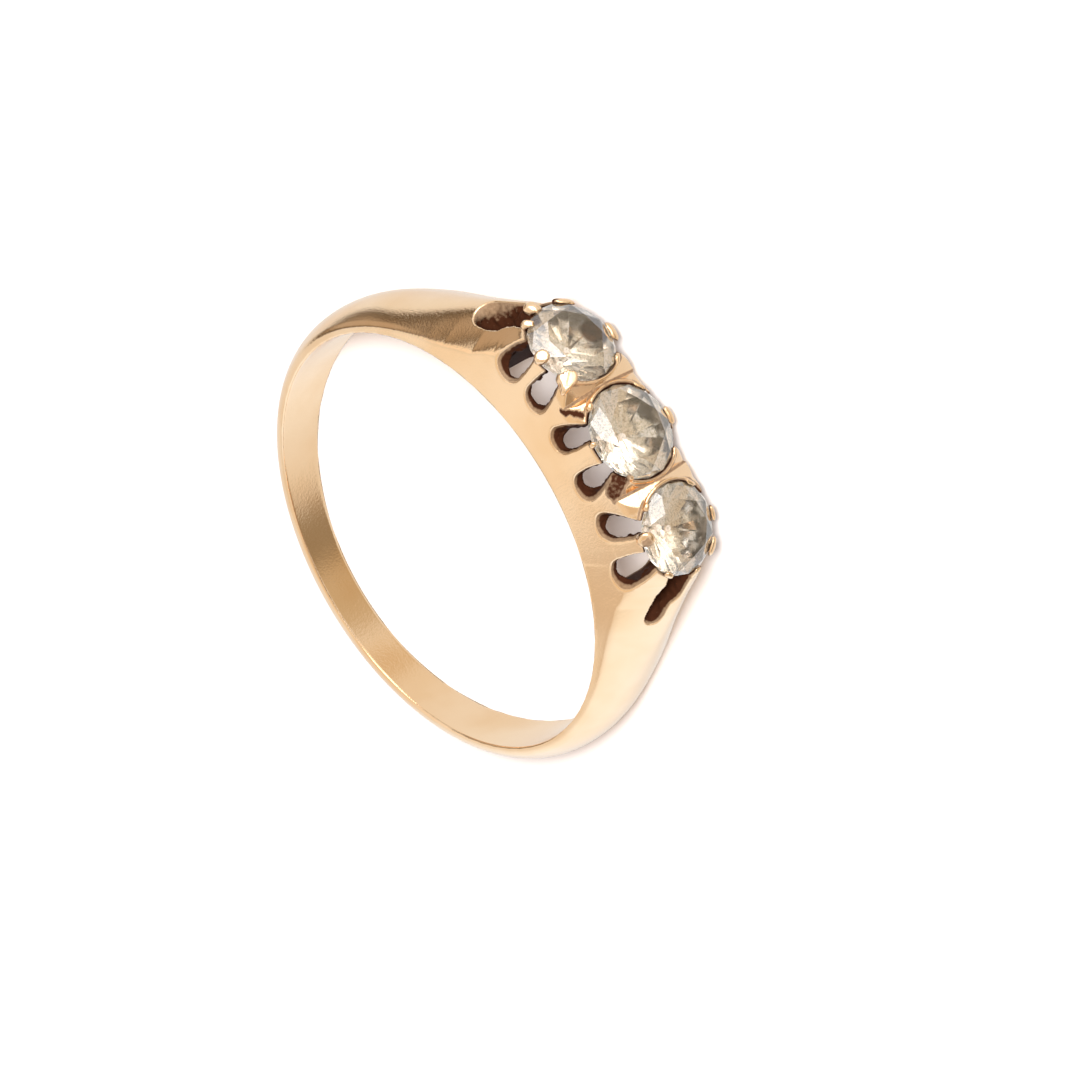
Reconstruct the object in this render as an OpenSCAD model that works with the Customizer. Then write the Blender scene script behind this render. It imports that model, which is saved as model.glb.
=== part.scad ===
// Three-stone ring with a carved boat-shaped head, lying on its side.
// In the ring's own frame the finger hole runs along Z and the head points to -Y.
// Angles go round the finger hole from the middle of the head, towards +X.
// Millimetres.

/* [Finger hole and shank] */
// Diameter of the finger hole
bore_d = 17; // [16.6:0.1:17.4]
// Thickness of the shank at the back
shank_t = 0.87; // [0.8:0.01:1]
// Width of the shank at the back
shank_w = 1.6; // [1.5:0.05:1.8]

/* [Head] */
// Width of the head at the finger hole
head_w = 4.39; // [4.2:0.01:4.6]
// Height of the middle girdle above the ring's axis
middle_girdle_r = 11.47; // [11.4:0.01:11.7]
// Height of the end girdles above the ring's axis
end_girdle_r = 11.69; // [11.6:0.01:11.9]
// Angle between neighbouring stones
stone_step = 19.4; // [19.2:0.1:20]
// Height of the metal rim above the girdles
rim_lip = 0.08; // [0.04:0.01:0.12]

/* [Stones] */
// Diameter of the middle stone
middle_stone_d = 3.62; // [3.5:0.01:3.66]
// Diameter of each end stone
end_stone_d = 3.44; // [3.3:0.01:3.5]
// Width of the table as a share of the stone's diameter
table_share = 0.66; // [0.55:0.01:0.7]
// Height of the crown as a share of the stone's diameter
crown_share = 0.11; // [0.09:0.01:0.14]
// Depth of the pavilion as a share of the stone's diameter
pavilion_share = 0.42; // [0.38:0.01:0.46]
// Gap between a stone and its metal
stone_gap = 0.04; // [0.03:0.01:0.06]

/* [Hidden] */
$fn = 48;

bore_r = bore_d / 2;
crown_r = bore_r + shank_t;

// The finger edges are flat planes, so that the ring lies flush on either one.
edge_mean = (head_w + shank_w) / 4;
edge_swing = (head_w - shank_w) / 4;
rest_tilt = atan(edge_swing / bore_r);

// Angle round the ring, girdle height and diameter of each stone,
// how far its open back reaches towards the lower and the upper shoulder,
// the corner radii at these two ends, and the turn of its facets
stones = [
    [0, middle_girdle_r, middle_stone_d, 1.22, 1.22, 0.5, 0.5, 12],
    [stone_step, end_girdle_r, end_stone_d, 1.22, 1.5, 0.5, 1, 28],
    [-stone_step, end_girdle_r, end_stone_d, 1.9, 1.22, 1.1, 0.5, 40],
];
MIDDLE = 0;
UPPER = 1;
LOWER = 2;
AT = 0;
GIRDLE_R = 1;
ROUND_D = 2;
BACK_LOW = 3;
BACK_HIGH = 4;
CORNER_LOW = 5;
CORNER_HIGH = 6;
TURN = 7;

// Thickness of a girdle and width of a culet as shares of the diameter, and number of main facets
girdle_share = 0.04;
culet_share = 0.08;
facets = 8;
// Height of the kites' widest points as a share of the crown, and the thickness of a flat in the hull
kite_height = 0.5;
thin = 0.001;

// Width of the metal beyond an end stone
end_rim = 0.15;
// The straight shoulders leave the head here and touch the shank's round crown
head_end = stone_step + atan((end_stone_d / 2 + end_rim) / end_girdle_r);
head_end_r = (end_girdle_r + rim_lip) / cos(head_end - stone_step);
shoulder_end = head_end + acos(crown_r / head_end_r);

// Angle from the head, height of the flat side face, lean of the side face, squareness of the crown
band_rows = [
    [0, 1.6, 0.08, 8],
    [3, 1.6, 0.09, 7],
    [6, 1.6, 0.1, 3.8],
    [9.7, 1.6, 0.11, 3.2],
    [13, 1.6, 0.12, 3.8],
    [16, 1.6, 0.13, 7],
    [20, 1.6, 0.14, 8],
    [24, 1.75, 0.16, 5],
    [28, 1.75, 0.17, 2.6],
    [31, 1.5, 0.17, 1.9],
    [34, 1.15, 0.16, 1.7],
    [38, 0.95, 0.15, 1.65],
    [42, 0.74, 0.13, 1.65],
    [47, 0.58, 0.12, 1.7],
    [53, 0.47, 0.11, 1.8],
    [62, 0.38, 0.1, 1.9],
    [75, 0.32, 0.1, 2.1],
    [180, 0.25, 0.1, 2.3],
];
// The flat crown of the head becomes the shoulders' roof, which meets the side faces in a crease
roof_from = 23;
roof_to = 29;
FACE = 1;
LEAN = 2;
SQUARE = 3;
band_step = 3;
crown_steps = 16;
bore_skin = 0.4;

// Stone, place of the slot along the ring and across it, direction, depth, width, lean, reach inwards,
// and how far its twin on the far side is out of step
wall_slots = [
    [UPPER, 0.95, 1.9, 64, 1.86, 1.06, -6, 1.8, -0.1],
    [UPPER, -0.74, 1.95, 98, 1.84, 1.04, -4, 1.4, -0.1],
    [MIDDLE, 1, 2, 75, 1.77, 1, -8, 1.4, -0.25],
    [MIDDLE, -0.89, 2, 100, 1.87, 1.02, 6, 1.4, -0.2],
    [LOWER, 0.92, 1.95, 74, 1.94, 1.02, -3, 1.4, -0.32],
    [LOWER, -1.06, 1.88, 112, 2.03, 1.12, 13, 1.8, -0.15],
];
// The shoulder slots have no twins. The near ones are made of two and three that end in a round wall
shoulder_slots = [
    [UPPER, 2.6, 0.6, 0, 2.2, 1.2, 0, 0.35, 0, 1.22],
    [UPPER, 2.6, 0.62, 0, 2.6, 1, 0, 0.35, 0, 0.85],
    [UPPER, 2, 0.74, -4, 2.4, 0.72, 0, 1.4, 0, 0.6],
    [UPPER, 2.6, -0.78, -18, 1.8, 0.74, 0, 2],
    [LOWER, -2.6, 0.6, 174, 2.2, 0.92, 0, 2, 0, 0.2],
    [LOWER, -2.6, 0.73, 176, 2.2, 0.64, 0, 2, 0, 0.92],
    [LOWER, -2.6, -1.1, -164, 1.7, 0.9, 0, 2],
];
STONE = 0;
ALONG = 1;
ACROSS = 2;
AIM = 3;
DEPTH = 4;
WIDTH = 5;
SLANT = 6;
REACH = 7;
FAR_STEP = 8;
STOP = 9;
slot_outside = 2;
// How far a cut reaches above the girdle, and past a face that it meets
above = 2;
overlap = 0.1;
stop_sides = 24;

// Stone, direction of the claw round the stone, diameter of its bead
claws = [
    [UPPER, 10, 0.42],
    [UPPER, 39, 0.48],
    [UPPER, 90, 0.52],
    [UPPER, 130, 0.46],
    [UPPER, -33, 0.46],
    [UPPER, -105, 0.46],
    [UPPER, -140, 0.4],
    [MIDDLE, 36, 0.34],
    [MIDDLE, 82, 0.38],
    [MIDDLE, 140, 0.34],
    [MIDDLE, -46, 0.36],
    [MIDDLE, -94, 0.38],
    [MIDDLE, -140, 0.36],
    [LOWER, 42, 0.36],
    [LOWER, 81, 0.5],
    [LOWER, 140, 0.36],
    [LOWER, -172, 0.36],
    [LOWER, -134, 0.4],
    [LOWER, -90, 0.4],
    [LOWER, -42, 0.36],
];
CLAW_AIM = 1;
BEAD_D = 2;
// How far the middle of a bead stands outside its stone
bead_out = 0.02;

// Open back of a stone: half width across the ring, corner radius, depth of its top,
// and width of the ledge above it that the stone sits on
back_across = 1.64;
back_top = 1;
ledge = 0.22;

// Groove between two stones: height of its floor at the middle and at the side, and half opening
groove_top_r = 11.72;
groove_side_r = 11.15;
groove_half = 1.4;
groove_rise = 0.95;

function ring_point(angle, r, z) = [r * sin(angle), -r * cos(angle), z];
function folded(angle) = abs(angle > 180 ? angle - 360 : angle);
function band_value(angle, column) =
    lookup(folded(angle), [for (row = band_rows) [row[AT], row[column]]]);
function edge_half(angle) = edge_mean + edge_swing * cos(angle);
function side_half(angle, r) = edge_half(angle) - band_value(angle, LEAN) * (r - bore_r);
function head_r(angle) = folded(angle) < stone_step / 2
    ? (middle_girdle_r + rim_lip) / cos(angle)
    : (end_girdle_r + rim_lip) / cos(folded(angle) - stone_step);
function top_r(angle) = folded(angle) <= head_end
    ? head_r(angle)
    : crown_r / cos(max(0, shoulder_end - folded(angle)));
function bent(value, power) = sign(value) * pow(abs(value), power);

// One section of the band, from the bore over the crown and back
function band_section(angle) =
    let (
        low = bore_r - bore_skin,
        face_r = bore_r + band_value(angle, FACE),
        half = side_half(angle, face_r),
        high = top_r(angle) - face_r,
        square = band_value(angle, SQUARE),
        roof = max(0, min(1, (folded(angle) - roof_from) / (roof_to - roof_from))),
        crown = [for (i = [0 : crown_steps])
            let (
                turn = 180 * i / crown_steps - 90,
                boxed = [high * bent(cos(turn), 2 / square), half * bent(sin(turn), 2 / square)],
                roofed = [high * (1 - pow(abs(sin(turn)), square)), half * sin(turn)]
            )
            [face_r, 0] + (1 - roof) * boxed + roof * roofed]
    )
    concat([[low, -side_half(angle, low)]], crown, [[low, side_half(angle, low)]]);

// A closed ring of sections, joined by triangles
module band_body() {
    angles = [for (a = [0 : band_step : 360 - band_step]) a];
    sections = [for (a = angles) [for (p = band_section(a)) ring_point(a, p[0], p[1])]];
    count = len(sections[0]);
    turns = len(angles);
    points = [for (s = sections) each s];
    faces = [for (i = [0 : turns - 1]) for (j = [0 : count - 1])
        let (
            a = i * count + j,
            b = i * count + (j + 1) % count,
            c = ((i + 1) % turns) * count + (j + 1) % count,
            d = ((i + 1) % turns) * count + j
        )
        each [[a, b, c], [a, c, d]]];
    polyhedron(points, faces, convexity = 6);
}

// Puts the girdle's centre of a stone at the origin: X round the ring, Y along its axis, Z outwards
module at_stone(index) {
    rotate([0, 0, stones[index][AT]])
        translate([0, -stones[index][GIRDLE_R], 0])
            rotate([90, 0, 0])
                children();
}

// The space that a stone and its gap take: open above, with a ledge below and a round hole through it
module stone_space(index) {
    d = stones[index][ROUND_D];
    girdle = d * girdle_share / 2;
    seat_r = d / 2 + stone_gap;
    hole_r = d / 2 - ledge;
    fall = ledge * pavilion_share / 0.5 + stone_gap;
    table_r = d * table_share / 2 + stone_gap;
    rotate_extrude()
        polygon([
            [0, -back_top - overlap],
            [hole_r, -back_top - overlap],
            [hole_r, -girdle - stone_gap - fall],
            [seat_r, -girdle - stone_gap],
            [seat_r, girdle + stone_gap],
            [table_r, d * crown_share + girdle + stone_gap],
            [table_r, above],
            [0, above],
        ]);
}

// The open back under a stone, a slab with round corners that reaches into the finger hole
module back_space(index) {
    depth = stones[index][GIRDLE_R] - bore_r + bore_skin;
    ends = [
        [-stones[index][BACK_LOW], stones[index][CORNER_LOW], 1],
        [stones[index][BACK_HIGH], stones[index][CORNER_HIGH], -1],
    ];
    translate([0, 0, -depth])
        linear_extrude(depth - back_top)
            hull()
                for (end = ends) for (side = [-1, 1])
                    translate([end[0] + end[2] * end[1], side * (back_across - end[1])])
                        circle(end[1]);
}

// A slot with a round bottom, cut through the wall towards the stone. Where it has a stop it ends in a round wall
module slot_cut(slot, step = 0) {
    width = slot[WIDTH];
    stopped = !is_undef(slot[STOP]);
    long = slot[REACH] + (stopped ? slot[STOP] - width / 2 : slot_outside);
    translate([slot[ALONG] + step, slot[ACROSS], width / 2 - slot[DEPTH]])
        rotate([0, 0, slot[AIM]])
            rotate([slot[SLANT], 0, 0])
                translate([-slot[REACH], 0, 0]) {
                    rotate([0, 90, 0]) cylinder(d = width, h = long);
                    translate([0, -width / 2, 0]) cube([long, width, 2 * above]);
                    if (stopped)
                        translate([long, 0, 0]) {
                            sphere(d = width, $fn = stop_sides);
                            cylinder(d = width, h = 2 * above, $fn = stop_sides);
                        }
                }
}

// The groove between two stones, with its floor falling towards the side
module groove_cut() {
    fall = atan((groove_top_r - groove_side_r) / (head_w / 2));
    translate([0, -groove_top_r, 0])
        rotate([-fall, 0, 0])
            linear_extrude(head_w)
                polygon([[0, 0], [groove_half, -groove_rise], [-groove_half, -groove_rise]]);
}

// The slots and grooves of the head
module carving() {
    for (slot = wall_slots) {
        at_stone(slot[STONE]) slot_cut(slot);
        mirror([0, 0, 1]) at_stone(slot[STONE]) slot_cut(slot, slot[FAR_STEP]);
    }
    for (slot = shoulder_slots) at_stone(slot[STONE]) slot_cut(slot);
    for (side = [-0.5, 0.5])
        rotate([0, 0, side * stone_step]) {
            groove_cut();
            mirror([0, 0, 1]) groove_cut();
        }
}

// The round ends of the claws
module claw_beads() {
    for (claw = claws)
        at_stone(claw[STONE])
            rotate([0, 0, claw[CLAW_AIM]])
                translate([stones[claw[STONE]][ROUND_D] / 2 + bead_out, 0, rim_lip])
                    sphere(d = claw[BEAD_D], $fn = 24);
}

// Lays the ring on its lower edge, with the middle of its length and width at the origin
module lying() {
    front = (middle_girdle_r + middle_stone_d * (crown_share + girdle_share / 2)) * cos(rest_tilt)
        + middle_stone_d * table_share / 2 * sin(rest_tilt);
    back = crown_r * cos(rest_tilt);
    translate([0, (front - back) / 2, edge_mean * cos(rest_tilt)])
        rotate([-rest_tilt, 0, 0])
            children();
}

module ring_band() {
    color("goldenrod")
        lying()
            difference() {
                union() {
                    difference() {
                        band_body();
                        carving();
                    }
                    claw_beads();
                }
                for (index = [MIDDLE, UPPER, LOWER])
                    at_stone(index) {
                        stone_space(index);
                        back_space(index);
                    }
                cylinder(r = bore_r, h = 2 * head_w, center = true, $fn = 96);
            }
}

// An old round cut: table, kites, girdle, pavilion and a small flat culet
module cut_stone(index) {
    d = stones[index][ROUND_D];
    girdle = d * girdle_share / 2;
    table_r = d * table_share / 2;
    crown = d * crown_share;
    pavilion = d * pavilion_share;
    color("white")
        lying()
            at_stone(index)
                rotate([0, 0, stones[index][TURN]])
                hull() {
                    translate([0, 0, crown + girdle - thin])
                        cylinder(r = table_r, h = thin, $fn = facets);
                    rotate([0, 0, 180 / facets])
                        translate([0, 0, crown * kite_height + girdle])
                            cylinder(r = (table_r + d / 2) / 2 / cos(180 / facets), h = thin, $fn = facets);
                    translate([0, 0, -girdle])
                        cylinder(r = d / 2, h = 2 * girdle, $fn = 2 * facets);
                    translate([0, 0, -girdle - pavilion])
                        cylinder(r = d * culet_share / 2, h = thin, $fn = facets);
                }
}

module middle_stone() {
    cut_stone(MIDDLE);
}

module upper_end_stone() {
    cut_stone(UPPER);
}

module lower_end_stone() {
    cut_stone(LOWER);
}

ring_band();
middle_stone();
upper_end_stone();
lower_end_stone();
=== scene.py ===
"""A worn gold ring with three old cut stones, lying on its side on a pale floor.

The ring's own frame is used for every shape: millimetres, the finger hole along Z, the head towards -Y.
Angles go round the finger hole from the middle of the head, towards +X. A piece is laid on the floor last.
"""

import logging
import math
from dataclasses import dataclass
from enum import Enum

import bpy
import numpy as np
from bpy.types import ID, Material, Node, NodeSocket, NodeTree, Object
from mathutils import Matrix, Vector

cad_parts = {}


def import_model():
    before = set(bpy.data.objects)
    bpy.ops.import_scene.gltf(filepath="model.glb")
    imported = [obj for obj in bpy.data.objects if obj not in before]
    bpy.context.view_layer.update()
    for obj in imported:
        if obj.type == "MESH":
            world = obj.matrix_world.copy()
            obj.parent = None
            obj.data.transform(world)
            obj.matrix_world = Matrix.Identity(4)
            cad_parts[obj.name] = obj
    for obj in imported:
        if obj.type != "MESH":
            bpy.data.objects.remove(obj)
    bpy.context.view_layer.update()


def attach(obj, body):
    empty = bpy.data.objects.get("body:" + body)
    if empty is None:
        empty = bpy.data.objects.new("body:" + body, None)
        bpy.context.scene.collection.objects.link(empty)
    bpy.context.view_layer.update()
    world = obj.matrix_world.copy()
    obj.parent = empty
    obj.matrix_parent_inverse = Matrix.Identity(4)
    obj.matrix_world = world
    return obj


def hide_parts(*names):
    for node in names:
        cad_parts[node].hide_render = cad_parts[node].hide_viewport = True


Array = np.ndarray
Places = tuple[Array, Array, Array]
Colour = tuple[float, float, float, float]
Triple = tuple[float, float, float]

LOG = logging.getLogger("gold_ring")
MM = 0.001


class Stone(Enum):
    """The three stones by their place in the head."""

    MIDDLE = 0
    UPPER = 1
    LOWER = 2


MIDDLE, UPPER, LOWER = Stone


@dataclass(frozen=True)
class StoneSeat:
    """Where a stone sits and how large it is."""

    stone: Stone
    node: str
    angle: float
    girdle_r: float
    diameter: float
    back_low: float
    back_high: float
    corner_low: float
    corner_high: float
    turn: float


@dataclass(frozen=True)
class Slot:
    """A round-bottomed slot in a stone's frame: X round the ring, Y along its axis, Z outwards.

    Neck and cone narrow it towards its top and its inside, mouth and lip open it at the skin, silt narrows it below
    the skin, and its far twin stands the far step further along.
    """

    stone: Stone
    along: float
    across: float
    aim: float
    depth: float
    width: float
    slant: float
    reach: float
    far_step: float = 0.0
    neck: float = 0.0
    cone: float = 0.0
    mouth: float = 0.02
    lip: float = 0.0
    stop: float = 20.0
    silt: float = 0.09


@dataclass(frozen=True)
class Claw:
    """A claw's worn end: direction round its stone, width, and lengths past that along and over the girdle.

    Its tail is the length of the point that it draws out to behind its stone. Its top leans outwards by the tilt and
    sideways by the roll, and is as round as the dome says.
    """

    stone: Stone
    aim: float
    bead: float
    stretch: float = 0.0
    over: float = 0.0
    out: float = 0.0
    lift: float = 0.08
    thick: float = 0.3
    tilt: float = 20.0
    tail: float = 0.0
    roll: float = 0.0
    dome: float = 0.42

    @property
    def leaf(self) -> float:
        """How much a stretched claw thins towards its sides, as a share of its thickness."""
        return 0.6 if self.stretch > 0.2 else 0.0


@dataclass(frozen=True)
class GrimeShadePatch:
    """Grime and painted shade (or, with a negative amount, bare metal) along a streak from a place in a stone's
    frame.
    """

    stone: Stone
    along: float
    across: float
    up: float
    radius: float
    amount: float
    run: Triple = (0.0, 0.0, 0.0)


SEATS = (
    StoneSeat(MIDDLE, "middle_stone", 0.0, 11.47, 3.62, 1.22, 1.22, 0.5, 0.5, 12.0),
    StoneSeat(UPPER, "upper_end_stone", 19.4, 11.69, 3.44, 1.22, 1.5, 0.5, 1.0, 28.0),
    StoneSeat(LOWER, "lower_end_stone", -19.4, 11.69, 3.44, 1.9, 1.22, 1.1, 0.5, 40.0),
)

WALL_SLOTS = (
    Slot(UPPER, 0.95, 1.9, 64, 1.86, 1.06, -6, 1.8, -0.1, 0.3, 0.1, 0.03, 0.1),
    Slot(UPPER, -0.74, 1.95, 98, 1.84, 1.04, -4, 1.4, -0.1, 0.35, 0.12, 0.02, 0.05),
    Slot(MIDDLE, 1.0, 2.0, 75, 1.77, 1.0, -8, 1.4, -0.25, 0.3, 0.14, 0.02, 0.03),
    Slot(MIDDLE, -0.89, 2.0, 100, 1.87, 1.02, 6, 1.4, -0.2, 0.5, 0.1, 0.01, 0.12),
    Slot(LOWER, 0.92, 1.95, 74, 1.94, 1.02, -3, 1.4, -0.32, 0.5, 0.12, 0.01, 0.12),
    Slot(LOWER, -1.06, 1.88, 112, 2.03, 1.12, 13, 1.8, -0.15, 0.3, 0.1, 0.02, 0.1),
)

SHOULDER_SLOTS = (
    Slot(UPPER, 2.6, 0.6, 0, 2.2, 1.2, 0, 0.35, stop=1.22),
    Slot(UPPER, 2.6, 0.62, 0, 2.6, 1.0, 0, 0.35, stop=0.85),
    Slot(UPPER, 2.0, 0.74, -4, 2.4, 0.72, 0, 1.4, stop=0.6),
    Slot(UPPER, 2.6, -0.78, -18, 1.8, 0.74, 0, 2.0),
    Slot(LOWER, -2.6, 0.6, 174, 2.2, 0.92, 0, 2.0, stop=0.2),
    Slot(LOWER, -2.6, 0.73, 176, 2.2, 0.64, 0, 2.0, stop=0.92),
    Slot(LOWER, -2.6, -1.1, -164, 1.7, 0.9, 0, 2.0),
)

CLAWS = (
    Claw(UPPER, 11, 0.42, 0.05, 0.3, 0.12, tilt=12, roll=-0.2, dome=0.3),
    Claw(UPPER, 38, 0.36, 0.0, 0.22, -0.04, roll=-0.24, dome=0.2),
    Claw(UPPER, 90, 0.54, 0.0, 0.06, -0.1, 0.14, 0.4, 22, roll=0.11, dome=0.14),
    Claw(UPPER, 130, 0.62, 0.1, 0.1, 0.02, tilt=13, tail=0.65, roll=0.34, dome=0.1),
    Claw(UPPER, -33, 0.32, 0.6, 0.1, 0.02, thick=0.24, tilt=26),
    Claw(UPPER, -104, 0.34, 0.5, 0.12, 0.0, 0.14, 0.24, 26),
    Claw(UPPER, -143, 0.26, 0.3, thick=0.24),
    Claw(MIDDLE, 38, 0.24, 0.1, out=0.08),
    Claw(MIDDLE, 82, 0.24, out=0.1),
    Claw(MIDDLE, 140, 0.2, 0.1),
    Claw(MIDDLE, -46, 0.26, 0.4, thick=0.22),
    Claw(MIDDLE, -95, 0.32, 0.44, 0.1, 0.0, 0.14, 0.24, 26),
    Claw(MIDDLE, -140, 0.26, 0.3, thick=0.22),
    Claw(LOWER, 42, 0.22, 0.1, out=0.06),
    Claw(LOWER, 80, 0.54, 0.0, 0.1, -0.02, 0.14, 0.45, 26, roll=-0.1),
    Claw(LOWER, 140, 0.24, 0.15),
    Claw(LOWER, -172, 0.26, 0.3, thick=0.22),
    Claw(LOWER, -134, 0.28, 0.5, 0.1, 0.02, 0.12, 0.24, 26),
    Claw(LOWER, -94, 0.26, 0.4, 0.06, -0.02, 0.12, 0.22, 26),
    Claw(LOWER, -42, 0.26, 0.4, thick=0.22),
)

GRIME_SHADE_PATCHES = (
    GrimeShadePatch(MIDDLE, -1.25, 1.4, -0.1, 0.42, 0.16, (-0.4, 0.55, -0.2)),
    GrimeShadePatch(MIDDLE, 1.87, 1.88, -0.54, 0.13, 0.2, (-0.51, -0.37, 0.46)),
    GrimeShadePatch(MIDDLE, 2.45, 0.9, 0.1, 0.85, 0.034),
    GrimeShadePatch(LOWER, 0.2, 1.78, 0.25, 0.26, 0.07),
    GrimeShadePatch(UPPER, 1.85, -0.78, -0.11, 0.35, 0.3),
    GrimeShadePatch(UPPER, 3.9, 0.9, -0.9, 1.9, -1.0),
)


@dataclass(frozen=True)
class RingSizes:
    """The ring's driving sizes, the same as the solid model's."""

    bore_r: float = 8.5
    shank_t: float = 0.87
    shank_w: float = 1.6
    head_w: float = 4.39
    rim_lip: float = 0.08
    end_rim: float = 0.15
    table_share: float = 0.66
    crown_share: float = 0.11
    pavilion_share: float = 0.42
    girdle_share: float = 0.04
    culet_share: float = 0.08

    @property
    def edge_mean(self) -> float:
        """Mean height of the finger edge above the middle plane."""
        return (self.head_w + self.shank_w) / 4

    @property
    def edge_swing(self) -> float:
        """How far the finger edge rises and falls round the ring."""
        return (self.head_w - self.shank_w) / 4

    @property
    def tilt(self) -> float:
        """Lean of the ring's axis when it lies on its flat edge, in radians."""
        return math.atan(self.edge_swing / self.bore_r)

    @property
    def lift(self) -> float:
        """Height of the ring's middle above the floor."""
        return self.edge_mean * math.cos(self.tilt)

    @property
    def shift(self) -> float:
        """Place of the ring's middle along Y when its length is centred on the origin."""
        middle = SEATS[0]
        top = middle.girdle_r + middle.diameter * (self.crown_share + self.girdle_share / 2)
        front = top * math.cos(self.tilt) + middle.diameter * self.table_share / 2 * math.sin(self.tilt)
        return (front - (self.bore_r + self.shank_t) * math.cos(self.tilt)) / 2

    def lay(self, points: Array) -> Array:
        """Lays points of the ring's own frame on the floor.

        Args:
            points: an array of N by 3, in millimetres.

        Returns:
            The same points in the shared frame, in metres.
        """
        c, s = math.cos(self.tilt), math.sin(self.tilt)
        x, y, z = points.T
        return np.stack([x, y * c + z * s + self.shift, z * c - y * s + self.lift], axis=1) * MM


def smooth_min(a: Array, b: Array, k: float) -> Array:
    """Joins two distances with a fillet.

    Args:
        a, b: distances in millimetres.
        k: about the fillet's size.

    Returns:
        The joined distance.
    """
    h = np.maximum(k - np.abs(a - b), 0) / k
    return np.minimum(a, b) - h * h * k * 0.25


def smooth_max(a: Array, b: Array, k: float) -> Array:
    """Cuts two distances with a worn edge.

    Args:
        a, b: distances in millimetres.
        k: about the worn edge's size.

    Returns:
        The distance to what both hold.
    """
    return -smooth_min(-a, -b, k)


def ripple(at: Places, scale: float) -> Array:
    """Gives the unevenness of hand work.

    Args:
        at: places.
        scale: waves per millimetre, roughly.

    Returns:
        Values between about -1 and 1.
    """
    x, y, z = at
    a = np.sin(x * 2.9 * scale + 1.7 * np.sin(y * 2.3 * scale + 0.6))
    b = np.sin(y * 3.7 * scale + 1.3 * np.sin(z * 3.1 * scale + 2.1))
    c = np.sin(z * 4.3 * scale + 1.9 * np.sin(x * 2.7 * scale + 4.0))
    return (a + b + c) / 3


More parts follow.
